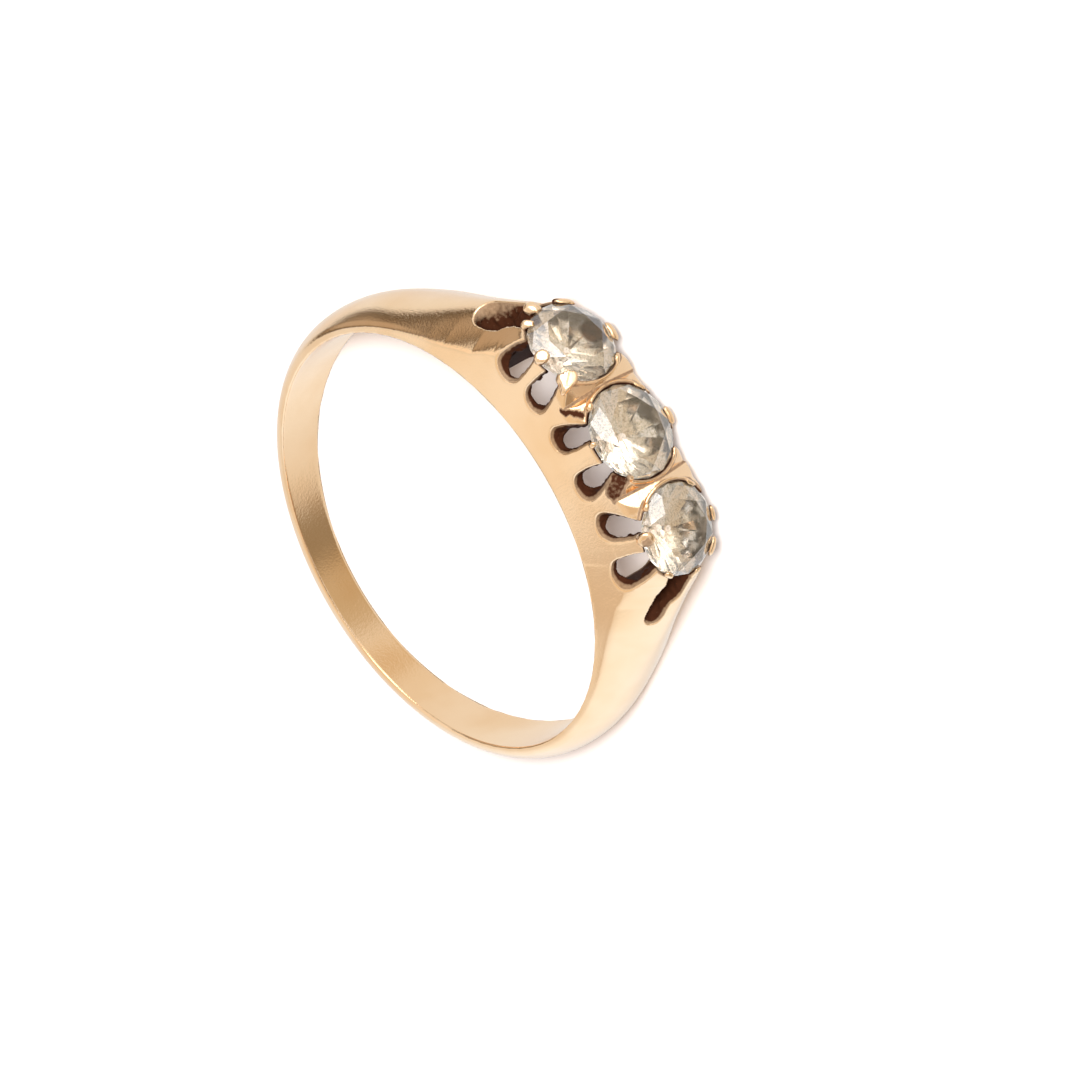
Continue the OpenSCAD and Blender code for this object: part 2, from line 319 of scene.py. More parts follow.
@dataclass(frozen=True)
class BandForm:
    """The gold as a distance in space: less than nothing inside the metal, more outside.

    Places are x, y and z in millimetres, in the ring's own frame, and distances are in millimetres too.
    """

    sizes: RingSizes = RingSizes()
    # angle, height of the flat side face, its lean, squareness of the crown
    band_rows: tuple[tuple[float, float, float, float], ...] = (
        (0, 1.6, 0.08, 8), (3, 1.6, 0.09, 7), (6, 1.6, 0.1, 3.8), (9.7, 1.6, 0.11, 3.2),
        (13, 1.6, 0.12, 3.8), (16, 1.6, 0.13, 7), (20, 1.6, 0.14, 8), (24, 1.75, 0.16, 5),
        (28, 1.75, 0.17, 2.6), (31, 1.5, 0.17, 1.9), (34, 1.15, 0.16, 1.7), (38, 0.95, 0.15, 1.65),
        (42, 0.74, 0.13, 1.65), (47, 0.58, 0.12, 1.7), (53, 0.47, 0.11, 1.8), (62, 0.38, 0.1, 1.9),
        (75, 0.32, 0.1, 2.1), (180, 0.25, 0.1, 2.3),
    )
    roof_from: float = 23.0
    roof_to: float = 29.0
    groove_top_r: float = 11.72
    groove_side_r: float = 11.15
    groove_half: float = 1.4
    groove_rise: float = 0.95
    back_across: float = 1.64
    back_top: float = 1.0
    ledge: float = 0.22
    stone_gap: float = 0.035
    seat_rim: float = 0.075
    # worn edges: of the band, how fast they grow on the shoulders from an angle on, and of the finger hole
    edge_wear: float = 0.03
    shoulder_wear: float = 0.012
    shoulder_from: float = 30.0
    bore_wear: float = 0.09
    # worn edges of cuts, fillets at rims and claws, and the height and scale of the tool's marks
    cut_wear: float = 0.03
    rim_fillet: float = 0.04
    claw_fillet: float = 0.06
    tool_marks: float = 0.045
    tool_scale: float = 4.6
    # how far below the skin a slot's mouth opens out and its silt grows
    mouth_depth: float = 0.14
    silt_depth: float = 0.4
    # grime and painted shade under the head, grime at the stones' seams, darker lines at the rims' feet and in the
    # grooves, and how fast it falls away
    under_grime_and_shade: float = 0.6
    seam_grime: float = 0.32
    foot_darkening: float = 0.14
    valley_darkening: float = 0.16
    seam_fall: float = 2.4
    line_fall: float = 2.2
    # how ragged a patch's edge is, and the depth left where metal is bare
    ragged: float = 0.07
    ragged_scale: float = 5.0
    bare_depth: float = 0.045

    def top_r(self, fold: Array) -> Array:
        """Gives the height of the band's crown above the axis.

        Args:
            fold: angles from the middle of the head, folded to 0..180.

        Returns:
            Radii in millimetres.
        """
        s = self.sizes
        crown_r = s.bore_r + s.shank_t
        middle, end = SEATS[:2]
        head_end = end.angle + math.degrees(math.atan((end.diameter / 2 + s.end_rim) / end.girdle_r))
        head_end_r = (end.girdle_r + s.rim_lip) / math.cos(math.radians(head_end - end.angle))
        shoulder_end = head_end + math.degrees(math.acos(crown_r / head_end_r))
        over_middle = (middle.girdle_r + s.rim_lip) / np.cos(np.radians(np.minimum(fold, 40)))
        over_end = (end.girdle_r + s.rim_lip) / np.cos(np.radians(np.clip(fold - end.angle, -40, 40)))
        on_head = np.where(fold < end.angle / 2, over_middle, over_end)
        off_head = crown_r / np.cos(np.radians(np.clip(shoulder_end - fold, 0, 60)))
        return np.where(fold <= head_end, on_head, off_head)

    def body(self, at: Places) -> Array:
        """Distance to the band before any carving.

        Args:
            at: places.

        Returns:
            The distance.
        """
        x, y, z = at
        s = self.sizes
        r = np.hypot(x, y)
        angle = np.degrees(np.arctan2(x, -y))
        fold = np.abs(angle)
        rows = np.array(self.band_rows, dtype=np.float32).T
        face, lean, square = (np.interp(fold, rows[0], row).astype(np.float32) for row in rows[1:])
        edge = s.edge_mean + s.edge_swing * np.cos(np.radians(angle))
        across = np.abs(z)
        side = across - (edge - lean * (r - s.bore_r))
        face_r = s.bore_r + face
        half = edge - lean * (face - np.maximum(face_r - r, 0))
        height = self.top_r(fold) - face_r
        u, v = np.maximum(r - face_r, 1e-4) / height, np.maximum(across, 1e-4) / half
        g = np.power(np.power(u, square) + np.power(v, square), 1 / square)
        slope = np.power(g, 1 - square) * np.hypot(np.power(u, square - 1) / height, np.power(v, square - 1) / half)
        box = (g - 1) / np.maximum(slope, 0.2)
        drop = height * np.power(v, square)
        roof = (r - face_r - height + drop) / np.hypot(1, square * drop / np.maximum(across, 0.05))
        share = np.clip((fold - self.roof_from) / (self.roof_to - self.roof_from), 0, 1)
        crown = box + (roof - box) * share
        worn = self.edge_wear + self.shoulder_wear * np.clip(fold - self.shoulder_from, 0, 10)
        return smooth_max(smooth_max(side, crown, worn), s.bore_r - r, self.bore_wear)

    @staticmethod
    def in_seat(seat: StoneSeat, at: Places) -> Places:
        """Gives places in a stone's frame.

        Args:
            seat: the stone's seat.
            at: places.

        Returns:
            X round the ring, Y along its axis, and Z outwards from the girdle.
        """
        x, y, z = at
        a = math.radians(seat.angle)
        c, s = math.cos(a), math.sin(a)
        return x * c + y * s, z, x * s - y * c - seat.girdle_r

    def slot(self, slot: Slot, far: bool, skin: Array, at: Places) -> Array:
        """Distance to a slot's space.

        Args:
            slot: the slot's sizes.
            far: whether it is the slot's twin on the far side.
            skin: distance to the band before any carving, near which the slot opens out.
            at: places.

        Returns:
            The distance, with the worn mouth and the silted sides.
        """
        along, across, up = self.in_seat(SEATS[slot.stone.value], at)
        along = along - slot.along - (slot.far_step if far else 0)
        across = -across if far else across
        near_skin = np.clip(1 + skin / self.mouth_depth, 0, 1)
        narrow = slot.cone * np.clip(slot.across - 0.05 - across, 0, 1.4)
        across = across - slot.across
        up = up - slot.width / 2 + slot.depth
        a, b = math.radians(slot.aim), math.radians(slot.slant)
        run = along * math.cos(a) + across * math.sin(a)
        side = across * math.cos(a) - along * math.sin(a)
        side, up = side * math.cos(b) + up * math.sin(b), up * math.cos(b) - side * math.sin(b)
        rise = slot.depth - slot.width / 2
        half = slot.width / 2 - slot.neck * slot.width / 2 * np.square(np.clip(up / rise, 0, 1.3)) - narrow
        half = half - slot.silt * np.clip(-skin / self.silt_depth, 0, 1)
        open_out = near_skin * (slot.mouth + slot.lip * np.clip(0.3 + side / slot.width * 2, 0, 1))
        flat = np.hypot(side, np.maximum(run - slot.stop + slot.width / 2, 0))
        wall = np.where(up < 0, np.hypot(flat, up), flat) - half - open_out
        return smooth_max(wall, -run - slot.reach, 0.05)

    def groove(self, side: float, at: Places) -> tuple[Array, Array]:
        """Distance to a groove's space.

        Args:
            side: -1 or 1, the side of the middle stone.
            at: places.

        Returns:
            The distance, and how far round the ring from the groove's floor the places are.
        """
        x, y, z = at
        a = math.radians(side * SEATS[1].angle / 2)
        c, s = math.cos(a), math.sin(a)
        fall = (self.groove_top_r - self.groove_side_r) / (self.sizes.head_w / 2)
        along, up = x * c + y * s, x * s - y * c - self.groove_top_r + fall * np.abs(z)
        flank = math.hypot(self.groove_half, self.groove_rise)
        return (np.abs(along) * self.groove_rise - up * self.groove_half) / flank, along

    def stone_space(self, seat: StoneSeat, at: Places) -> Array:
        """Distance to the space of a stone, its seat and its open back.

        Args:
            seat: the stone's seat.
            at: places.

        Returns:
            The distance.
        """
        s = self.sizes
        along, across, up = self.in_seat(seat, at)
        edge = seat.diameter * s.girdle_share / 2 + self.stone_gap
        seat_r = seat.diameter / 2 + self.stone_gap
        hole_r = seat.diameter / 2 - self.ledge
        fall = self.ledge * s.pavilion_share / 0.5 + self.stone_gap
        table_r = seat.diameter * s.table_share / 2
        heights = [-self.back_top - 0.1, -edge - fall, -edge, edge, seat.diameter * s.crown_share + edge]
        radii = [hole_r, hole_r, seat_r, seat_r, table_r]
        r = np.hypot(along, across)
        reach = np.interp(up, heights, radii).astype(np.float32)
        cut = np.maximum((r - reach) * 0.85, -self.back_top - 0.1 - up)
        middle, half = (seat.back_high - seat.back_low) / 2, (seat.back_high + seat.back_low) / 2
        corner = np.where(along > middle, seat.corner_high, seat.corner_low)
        qx = np.abs(along - middle) - half + corner
        qy = np.abs(across) - self.back_across + corner
        prism = np.hypot(np.maximum(qx, 0), np.maximum(qy, 0)) + np.minimum(np.maximum(qx, qy), 0)
        back = np.maximum(prism - corner, np.abs(up + self.back_top + 2) - 2)
        return np.minimum(cut, back)

    def rim(self, seat: StoneSeat, at: Places) -> Array:
        """Distance to the thin rim of a seat, which stands only where two stones are neighbours.

        Args:
            seat: the stone's seat.
            at: places.

        Returns:
            The distance.
        """
        along, across, up = self.in_seat(seat, at)
        half = seat.diameter / 2
        stands = np.clip((0.86 - np.abs(across) / half) * 5, 0, 1)
        if seat.angle:
            stands = stands * np.clip(-math.copysign(4, seat.angle) * along / half, 0, 1)
        ring = np.hypot(np.hypot(along, across) - half - self.stone_gap - self.seat_rim, up - self.sizes.rim_lip / 2)
        return ring - self.seat_rim * (2 * stands - 1)

    def claw(self, claw: Claw, at: Places) -> Array:
        """Distance to a claw's worn end.

        Args:
            claw: the claw's sizes.
            at: places.

        Returns:
            The distance.
        """
        seat = SEATS[claw.stone.value]
        along, across, up = self.in_seat(seat, at)
        a = math.radians(claw.aim)
        out = along * math.cos(a) + across * math.sin(a) - seat.diameter / 2 - 0.02 - claw.out
        side = across * math.cos(a) - along * math.sin(a)
        leaf = 1 - claw.leaf * np.square(side / (claw.stretch + claw.bead) * 2).clip(0, 1)
        side = side - np.clip(side, -claw.stretch / 2, claw.stretch / 2)
        up = up - claw.lift
        b = math.radians(claw.tilt)
        out, up = out * math.cos(b) - up * math.sin(b), up * math.cos(b) + out * math.sin(b)
        bulge = claw.dome / claw.bead * (np.square(np.minimum(np.abs(out), claw.bead)) + np.square(side))
        up = up + bulge - claw.roll * side
        out = out - np.clip(out, -claw.over / 2, claw.over / 2)
        worn = min(0.09, claw.bead / 3)
        round_end = np.hypot(out, side) - claw.bead / 2
        if claw.tail:
            share = claw.bead / 2 / claw.tail
            point = (np.abs(side) + np.maximum(out, 0) * share - claw.bead / 2) / math.hypot(1, share)
            round_end = np.where(out > 0, np.minimum(point, round_end), round_end)
        qx = round_end + worn
        qy = np.abs(up) - claw.thick / 2 * leaf + worn
        return np.hypot(np.maximum(qx, 0), np.maximum(qy, 0)) + np.minimum(np.maximum(qx, qy), 0) - worn

    def carved(self, at: Places) -> tuple[Array, Array]:
        """Distance to the finished band.

        Args:
            at: places.

        Returns:
            The distance, and how deep each place lies below the band's skin before it was carved, raised where grime
            and painted shade are put.
        """
        skin = self.body(at)
        rough = self.tool_marks * ripple(at, self.tool_scale) * np.clip(-skin / 0.25, 0, 1)
        gold = skin
        walls = [self.slot(slot, far, skin, at) for slot in WALL_SLOTS for far in (False, True)]
        hollow = [self.slot(slot, False, skin, at) for slot in SHOULDER_SLOTS]
        near_upper = smooth_min(smooth_min(hollow[0], hollow[1], 0.1), hollow[2], 0.25)
        near_lower = smooth_min(hollow[4], hollow[5], 0.08)
        for cut in (*walls, near_upper, hollow[3], near_lower, hollow[6]):
            gold = smooth_max(gold, rough - cut, self.cut_wear)
        polished = skin
        for side in (-1.0, 1.0):
            groove = self.groove(side, at)[0]
            gold = smooth_max(gold, -groove, self.cut_wear)
            polished = np.maximum(polished, -groove)
        for seat in SEATS:
            gold = smooth_min(gold, self.rim(seat, at), self.rim_fillet)
        for claw in CLAWS:
            gold = smooth_min(gold, self.claw(claw, at), self.claw_fillet)
        for seat in SEATS:
            gold = smooth_max(gold, -self.stone_space(seat, at), self.cut_wear)
        r = np.hypot(at[0], at[1])
        return np.maximum(gold, self.sizes.bore_r - r), self.grime_and_shade(-polished, at)

    def grime_and_shade(self, depth: Array, at: Places) -> Array:
        """Gives how much grime and painted shade lie at places, as if they lay that deep below the polished skin.

        Args:
            depth: how deep each place does lie below it.
            at: places.

        Returns:
            The depth, raised under the head with grime and painted shade, at seams, rims and grooves, and in the
            patches.
        """
        x, y, z = at
        # painted shade and grime under the head, near the finger hole
        under = np.clip(2.0 - np.abs(z) / 0.8, 0, 1) * np.clip(-y - 6.9, 0, 1) * np.clip(9.2 - np.hypot(x, y), 0, 1)
        depth = np.maximum(depth, self.under_grime_and_shade * under)
        for seat in SEATS:
            along, across, up = self.in_seat(seat, at)
            out = np.hypot(along, across) - seat.diameter / 2
            seam = np.hypot(out - 0.02, up * 0.8)
            # the rims' feet are drawn darker along a thin line
            foot = np.hypot(out - self.stone_gap - 2.3 * self.seat_rim, up + 0.04)
            depth = np.maximum(depth, self.seam_grime - self.seam_fall * seam)
            depth = np.maximum(depth, self.foot_darkening - self.line_fall * foot)
        # the grooves' floors are drawn darker along a thin line
        for side in (-1.0, 1.0):
            valley = sum(np.abs(gap) for gap in self.groove(side, at))
            depth = np.maximum(depth, self.valley_darkening - self.line_fall * valley)
        # patches add grime and painted shade, or take them away where the metal is bare
        for patch in GRIME_SHADE_PATCHES:
            along, across, up = self.in_seat(SEATS[patch.stone.value], at)
            gap = (along - patch.along, across - patch.across, up - patch.up)
            length = max(sum(step * step for step in patch.run), 1e-6)
            gone = np.clip(sum(g * step for g, step in zip(gap, patch.run)) / length, 0, 1)
            far = np.sqrt(sum(np.square(g - gone * step) for g, step in zip(gap, patch.run)))
            share = (far + self.ragged * ripple(at, self.ragged_scale)) / patch.radius
            if patch.amount > 0:
                depth = np.maximum(depth, patch.amount * np.clip(2.5 - 2.5 * share, 0, 1))
            else:
                depth = np.minimum(depth, self.bare_depth + 0.4 * np.maximum(share - 0.55, 0))
        return depth


@dataclass(frozen=True)
class SkinGrid:
    """A grid round the ring that is fine on the head and coarse at the back, and the skin drawn on it."""

    head_end: float = 44.0
    head_step: float = 0.31
    back_step: float = 1.6
    fine: float = 0.057
    middling: float = 0.11

    def angles(self) -> Array:
        """Angles of the grid, the last one short of a full turn."""
        head = np.arange(-self.head_end, self.head_end, self.head_step)
        back = np.linspace(self.head_end, 360 - self.head_end, int((360 - 2 * self.head_end) / self.back_step))
        return np.concatenate([head, back[:-1]])

    def radii(self) -> Array:
        """Radii of the grid, fine where the head is carved."""
        return np.concatenate([[8.3, 8.42], np.arange(8.49, 9.7, 0.09), np.arange(9.7, 12.3, self.fine)])

    def heights(self) -> Array:
        """Heights of the grid, fine on the side that is seen."""
        far = np.arange(-2.35, -1.9, self.middling)
        middle = np.arange(-1.02, 0.7, self.middling)
        return np.concatenate([far, np.arange(-1.9, -1.02, 0.07), middle, np.arange(0.7, 2.4, self.fine)])

    def skin(self, form: BandForm) -> tuple[Array, Array, Array]:
        """Draws the form's skin with four-sided faces.

        Args:
            form: the distance that is nothing at the skin.

        Returns:
            Vertices in millimetres, faces as rows of four, and each vertex's depth below the uncarved skin, raised
            where grime and painted shade are put.
        """
        angle, radius, height = self.angles(), self.radii(), self.heights()
        n = (len(angle), len(radius), len(height))
        t = np.radians(angle)[:, None, None]
        spread = (np.sin(t) * radius[:, None], -np.cos(t) * radius[:, None], height)
        places = tuple(np.broadcast_to(a, n).astype(np.float32) for a in spread)
        fields = [form.carved(places)[0], *places]
        cells = (n[0], n[1] - 1, n[2] - 1)
        total = math.prod(cells)
        sums, counts, crossings = np.zeros((total, 3)), np.zeros(total), []
        for axis in range(3):
            here, other = fields, [np.roll(a, -1, axis=axis) for a in fields]
            if axis:
                kept = tuple(slice(None, -1 if k == axis else None) for k in range(3))
                here, other = [a[kept] for a in here], [a[kept] for a in other]
            at = np.argwhere((here[0] < 0) != (other[0] < 0))
            key = tuple(at.T)
            v0, v1 = here[0][key], other[0][key]
            share = (v0 / (v0 - v1))[:, None]
            p0, p1 = (np.stack([a[key] for a in part[1:]], axis=1) for part in (here, other))
            point = p0 + (p1 - p0) * share
            sides = [k for k in range(3) if k != axis]
            around = []
            for step in ((0, 0), (-1, 0), (-1, -1), (0, -1)):
                cell = at.copy()
                cell[:, sides] += step
                cell[:, 0] %= n[0]
                index = (cell[:, 0] * cells[1] + cell[:, 1]) * cells[2] + cell[:, 2]
                around.append(index)
                for k in range(3):
                    sums[:, k] += np.bincount(index, weights=point[:, k], minlength=total)
                counts += np.bincount(index, minlength=total)
            face = np.stack(around, axis=1)
            turned = (v0 < 0) == (axis == 1)
            face[turned] = face[turned][:, ::-1]
            crossings.append(face)
        faces = np.concatenate(crossings)
        used = counts > 0
        name = np.cumsum(used) - 1
        points = (sums[used] / counts[used][:, None]).astype(np.float32)
        points = self.settle(form, points)
        depth = form.carved(points.T)[1]
        return points, name[faces], depth

    @staticmethod
    def settle(form: BandForm, points: Array) -> Array:
        """Moves points onto the form's skin along its slope.

        Args:
            form: the distance that is nothing at the skin.
            points: rows of x, y and z near the skin.

        Returns:
            The moved points.
        """
        step = 0.012
        for _ in range(3):
            here = form.carved(points.T)[0]
            slope = np.empty_like(points)
            for k in range(3):
                move = np.zeros(3, dtype=np.float32)
                move[k] = step
                slope[:, k] = (form.carved((points + move).T)[0] - form.carved((points - move).T)[0]) / (2 * step)
            size = np.maximum((slope * slope).sum(axis=1), 0.25)
            push = np.clip(here / size, -0.03, 0.03)[:, None] * slope
            points = points - push * 0.8
        return points


def add_object(name: str, data: ID) -> Object:
    """Adds an object to the scene.

    Args:
        name: its plain name.
        data: its mesh, camera or lamp.

    Returns:
        The new object, at the origin.
    """
    made = bpy.data.objects.new(name, data)
    bpy.context.scene.collection.objects.link(made)
    return made


def new_mesh(name: str, points: Array, faces: Array, smooth: bool) -> Object:
    """Makes a mesh object in the scene.

    Args:
        name: the piece's plain name.
        points: vertices in metres.
        faces: rows of vertex numbers.
        smooth: whether the faces are shaded smooth.

    Returns:
        The new object, at the origin.
    """
    mesh = bpy.data.meshes.new(name)
    mesh.vertices.add(len(points))
    mesh.vertices.foreach_set("co", np.ascontiguousarray(points, dtype=np.float32).ravel())
    size = faces.shape[1]
    mesh.loops.add(faces.size)
    mesh.loops.foreach_set("vertex_index", np.ascontiguousarray(faces, dtype=np.int32).ravel())
    mesh.polygons.add(len(faces))
    mesh.polygons.foreach_set("loop_start", np.arange(0, faces.size, size, dtype=np.int32))
    mesh.polygons.foreach_set("use_smooth", np.full(len(faces), smooth))
    mesh.update(calc_edges=True)
    mesh.validate()
    return add_object(name, mesh)


@dataclass
class Sockets:
    """Short ways to add nodes to a tree."""

    tree: NodeTree

    def fill(self, node: Node, inputs: dict[str | int, object]) -> None:
        """Joins sockets to a node's inputs, or sets the inputs' own values.

        Args:
            node: the node.
            inputs: a socket or a value for each named or numbered input.
        """
        for name, value in inputs.items():
            if isinstance(value, NodeSocket):
                self.tree.links.new(value, node.inputs[name])
            else:
                node.inputs[name].default_value = value

    def add(self, kind: str, inputs: dict[str | int, object] | None = None, **values: object) -> Node:
        """Adds a node.

        Args:
            kind: the node's type.
            inputs: a socket or a value for each input that isn't left as it is.
            values: the node's own properties, which are set before its inputs.

        Returns:
            The node.
        """
        node = self.tree.nodes.new(kind)
        for name, value in values.items():
            setattr(node, name, value)
        self.fill(node, inputs or {})
        return node

    def math(self, operation: str, a: object, b: object = 0.0, clamp: bool = False) -> NodeSocket:
        """Adds a Math node and gives its result."""
        return self.add("ShaderNodeMath", {0: a, 1: b}, operation=operation, use_clamp=clamp).outputs[0]

    def times(self, a: object, b: object) -> NodeSocket:
        """Gives the product of two values."""
        return self.math("MULTIPLY", a, b)

    def ramp(self, value: object, low: float, high: float, start: float = 0.0, end: float = 1.0) -> NodeSocket:
        """Maps a value's range to another one, smoothly and held at its ends.

        Args:
            value: a number or a socket.
            low, high: the range that it comes in.
            start, end: the range that it goes to.

        Returns:
            The mapped value's socket.
        """
        limits = {"Value": value, "From Min": low, "From Max": high, "To Min": start, "To Max": end}
        return self.add("ShaderNodeMapRange", limits, interpolation_type="SMOOTHSTEP").outputs["Result"]

    def mix(self, share: object, a: object, b: object) -> NodeSocket:
        """Mixes two colours."""
        return self.add("ShaderNodeMix", {0: share, 6: a, 7: b}, data_type="RGBA").outputs[2]

    def noise(self, place: NodeSocket, scale: object, detail: float = 2.0) -> NodeSocket:
        """Adds a Noise Texture and gives its value."""
        return self.add("ShaderNodeTexNoise", {"Vector": place, "Scale": scale, "Detail": detail}).outputs["Fac"]

    def bump(self, height: NodeSocket, strength: float, distance: float) -> NodeSocket:
        """Adds a Bump node and gives its normal."""
        size = {"Strength": strength, "Distance": distance, "Height": height}
        return self.add("ShaderNodeBump", size).outputs[0]


def shaded(name: str) -> tuple[Material, Sockets, Node]:
    """Makes a material with one Principled shader.

    Args:
        name: the material's plain name.

    Returns:
        The material, the short ways to add nodes to it, and its shader.
    """
    made = bpy.data.materials.new(name)
    made.use_nodes = True
    made.node_tree.nodes.clear()
    s = Sockets(made.node_tree)
    shader = s.add("ShaderNodeBsdfPrincipled")
    s.add("ShaderNodeOutputMaterial", {0: shader.outputs[0]})
    return made, s, shader


class WearGroup:
    """A shared effect: hair scratches and soft unevenness, as a mask and a height."""

    NAME = "surface_wear"
    INPUTS = {"Scratch Scale": 900.0, "Scratch Width": 0.02, "Grain Scale": 6000.0}
    HAIR_SHAPE = (1.0, 0.03, 0.3)
    HAIR_LIMIT = 0.68
    WAVE_SCALE = 420.0

    @classmethod
    def tree(cls) -> NodeTree:
        """Builds the group once and gives it."""
        made = bpy.data.node_groups.get(cls.NAME)
        if made:
            return made
        made = bpy.data.node_groups.new(cls.NAME, "ShaderNodeTree")
        face = made.interface
        for name, value in cls.INPUTS.items():
            face.new_socket(name=name, in_out="INPUT", socket_type="NodeSocketFloat").default_value = value
        for name in ("Scratches", "Grain", "Waves"):
            face.new_socket(name=name, in_out="OUTPUT", socket_type="NodeSocketFloat")
        s = Sockets(made)
        given = s.add("NodeGroupInput").outputs
        place = s.add("ShaderNodeTexCoord").outputs["Object"]
        total: object = 0.0
        for turn in ((0.3, 0.1, 0.9), (1.2, 0.7, 0.2), (2.1, 1.4, 1.1)):
            stretched = {"Vector": place, "Rotation": turn, "Scale": cls.HAIR_SHAPE}
            hairs = s.noise(s.add("ShaderNodeMapping", stretched).outputs[0], given["Scratch Scale"], 1.0)
            over = s.math("SUBTRACT", hairs, cls.HAIR_LIMIT)
            total = s.math("ADD", s.math("DIVIDE", over, given["Scratch Width"], clamp=True), total)
        s.add("NodeGroupOutput", {
            "Scratches": s.math("MINIMUM", total, 1.0),
            "Grain": s.noise(place, given["Grain Scale"], 4.0),
            "Waves": s.noise(place, cls.WAVE_SCALE),
        })
        return made

    @classmethod
    def use(cls, s: Sockets, *values: float) -> list[NodeSocket]:
        """Adds the group to a material.

        Args:
            s: the material's sockets.
            values: values for the group's inputs, in their order.

        Returns:
            The group's scratches, grain and waves.
        """
        return list(s.add("ShaderNodeGroup", dict(zip(cls.INPUTS, values)), node_tree=cls.tree()).outputs)


@dataclass(frozen=True)
class GoldFinish:
    """Worn polished yellow gold, with brown grime and painted shade in what was cut into it."""

    name: str = "worn_gold"
    bright: Colour = (0.95, 0.68, 0.43, 1)
    warm: Colour = (0.9, 0.6, 0.34, 1)
    grime_and_shade: Colour = (0.045, 0.015, 0.007, 1)
    roughness: float = 0.15

    def material(self) -> Material:
        """Builds the material."""
        made, s, shader = shaded(self.name)
        place = s.add("ShaderNodeTexCoord").outputs["Object"]
        scratches, grain, waves = WearGroup.use(s, 9000.0, 0.05, 11000.0)
        depth = s.add("ShaderNodeAttribute", attribute_name="depth").outputs["Fac"]
        tone = s.ramp(s.noise(place, 300.0, 3.0), 0.35, 0.7)
        skin = s.mix(tone, self.bright, self.warm)
        # sunk turns recesses and patches to the dark colour: real grime and painted shade
        sunk = s.math("ADD", s.ramp(depth, 0.01, 0.06, 0.0, 0.68), s.ramp(depth, 0.1, 0.19, 0.0, 0.32))
        patchy = s.math("ADD", 0.82, s.times(s.noise(place, 8000.0, 3.0), 0.5))
        dirt_and_shade = s.math("MULTIPLY", sunk, patchy, clamp=True)
        rough = s.math("ADD", self.roughness, s.times(scratches, 0.03))
        height = s.times(scratches, -0.05)
        height = s.math("ADD", height, s.times(grain, 0.8))
        height = s.math("ADD", height, s.times(waves, 1.2))
        s.fill(shader, {
            "Base Color": s.mix(dirt_and_shade, skin, self.grime_and_shade),
            "Metallic": s.math("SUBTRACT", 1.0, dirt_and_shade, clamp=True),
            "Specular IOR Level": 0.03,
            "Roughness": s.math("ADD", rough, s.times(dirt_and_shade, 0.45)),
            "Normal": s.bump(height, 0.35, 0.02 * MM),
        })
        return made


@dataclass(frozen=True)
class CrownFinish:
    """Clear old stone above the girdle, finely abraded."""

    name: str = "clear_stone"
    clear: Colour = (0.99, 0.985, 0.97, 1)
    sandy: Colour = (0.5, 0.45, 0.37, 1)
    index: float = 1.7

    def material(self) -> Material:
        """Builds the material."""
        made, s, shader = shaded(self.name)
        scratches, grain, _ = WearGroup.use(s, 5000.0, 0.04, 14000.0)
        s.fill(shader, {
            "Base Color": s.mix(s.ramp(grain, 0.46, 0.68), self.clear, self.sandy),
            "Metallic": 0.0,
            "Roughness": s.math("ADD", 0.01, s.times(scratches, 0.08)),
            "IOR": self.index,
            "Transmission Weight": 1.0,
            "Coat Weight": 1.0,
            "Coat IOR": self.index,
            "Normal": s.bump(grain, 0.1, 0.006 * MM),
        })
        return made


@dataclass(frozen=True)
class BackFinish:
    """The stones' backs, which give the light back through dust and old soap, with a painted dark reflection on the
    upper stone.
    """

    name: str = "dusty_stone_back"
    clean: Colour = (1.0, 0.95, 0.87, 1)
    dusty: Colour = (0.96, 0.86, 0.73, 1)
    soap: Colour = (0.07, 0.027, 0.013, 1)
    painted_dark_reflection: Colour = (0.13, 0.055, 0.025, 1)
    painted_reflection_at: Triple = (0.003684, -0.009189, 0.001202)
    painted_reflection_inner: float = 0.0004
    painted_reflection_outer: float = 0.0006

    def material(self) -> Material:
        """Builds the material."""
        made, s, shader = shaded(self.name)
        place = s.add("ShaderNodeTexCoord").outputs["Object"]
        _, grain, _ = WearGroup.use(s, 900.0, 0.02, 16000.0)
        clouds, specks = s.ramp(s.noise(place, 600.0), 0.35, 0.65), s.ramp(grain, 0.35, 0.65)
        dust = s.math("ADD", s.times(clouds, 0.4), s.times(specks, 0.6), clamp=True)
        inside = s.add("ShaderNodeNewGeometry").outputs["Backfacing"]
        # a painted dark reflection: a brown spot at one place on the upper stone's back
        away = s.add("ShaderNodeVectorMath", {0: place, 1: self.painted_reflection_at}, operation="DISTANCE").outputs["Value"]
        near = s.ramp(away, self.painted_reflection_inner, self.painted_reflection_outer)
        seen = s.mix(near, self.painted_dark_reflection, s.mix(dust, self.clean, self.dusty))
        s.fill(shader, {
            "Base Color": s.mix(inside, self.soap, seen),
            "Metallic": 0.9,
            "Roughness": s.math("ADD", 0.07, s.times(dust, 0.09)),
            "Normal": s.bump(grain, 0.08, 0.01 * MM),
        })
        return made


@dataclass
class GoldBand:
    """The shank, shoulders and carved head, one piece of gold."""

    form: BandForm = BandForm()
    grid: SkinGrid = SkinGrid()
    finish: GoldFinish = GoldFinish()

    def build(self) -> Object:
        """Builds the band and dresses it."""
        points, faces, depth = self.grid.skin(self.form)
        piece = new_mesh("gold_band", self.form.sizes.lay(points), faces, True)
        # the depth attribute carries the grime and painted shade that darken the gold
        layer = piece.data.attributes.new("depth", "FLOAT", "POINT")
        layer.data.foreach_set("value", depth.astype(np.float32))
        piece.data.materials.append(self.finish.material())
        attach(piece, "root")
        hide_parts("ring_band")
        return piece


